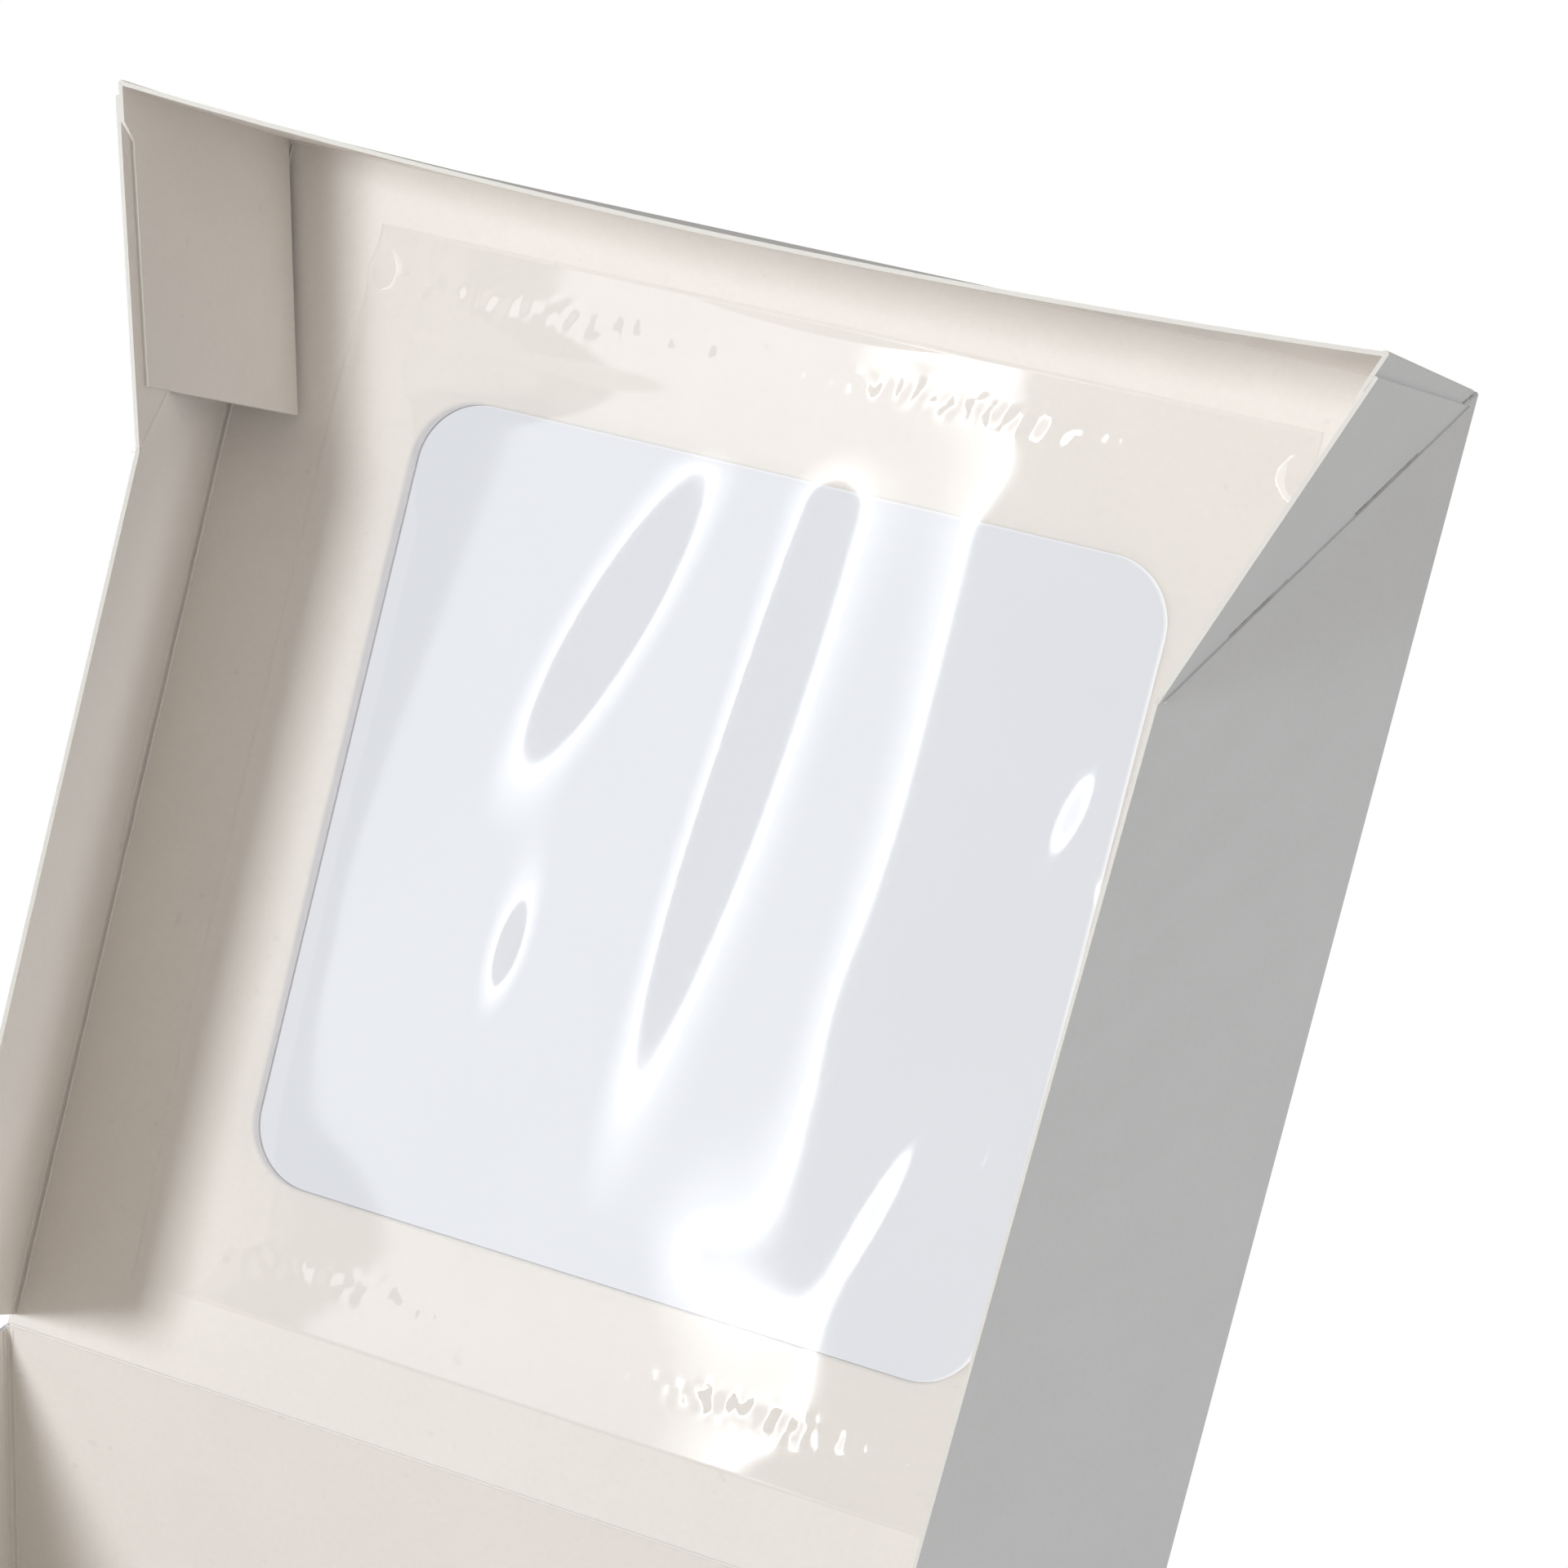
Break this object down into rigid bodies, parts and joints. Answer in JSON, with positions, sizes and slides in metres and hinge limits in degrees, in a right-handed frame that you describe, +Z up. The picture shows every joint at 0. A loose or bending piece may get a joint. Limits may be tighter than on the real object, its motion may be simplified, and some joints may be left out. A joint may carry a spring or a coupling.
{
  "type": "cupcake box",
  "caption": "folded white paperboard box with a hinged lid, a rounded window of clear film and an insert with round cup holes",
  "frame": {"origin": "centre of the underside of the base tray, on the surface that the box stands on", "axes": "+Z up, +Y towards the back wall that carries the lid, -Y towards the front, +X to the right seen from the front"},
  "size_m": [0.16, 0.2308, 0.2357],
  "materials": {
    "white_board": "white clay-coated face outside, uncoated cream-white face inside",
    "insert_board": "matt white",
    "clear_film": "clear and glossy"
  },
  "bodies": {
    "base": {"base_tray": "white_board", "cupcake_insert": "insert_board"},
    "lid_swing": {"lid": "white_board", "window_film": "clear_film"}
  },
  "joints": [
    {"name": "lid_hinge", "type": "hinge", "parent": "base", "child": "lid_swing", "pos_m": [0, 0.08125, 0.07625], "axis": [1, 0, 0], "range_deg": [-64.5, 115.5]}
  ]
}
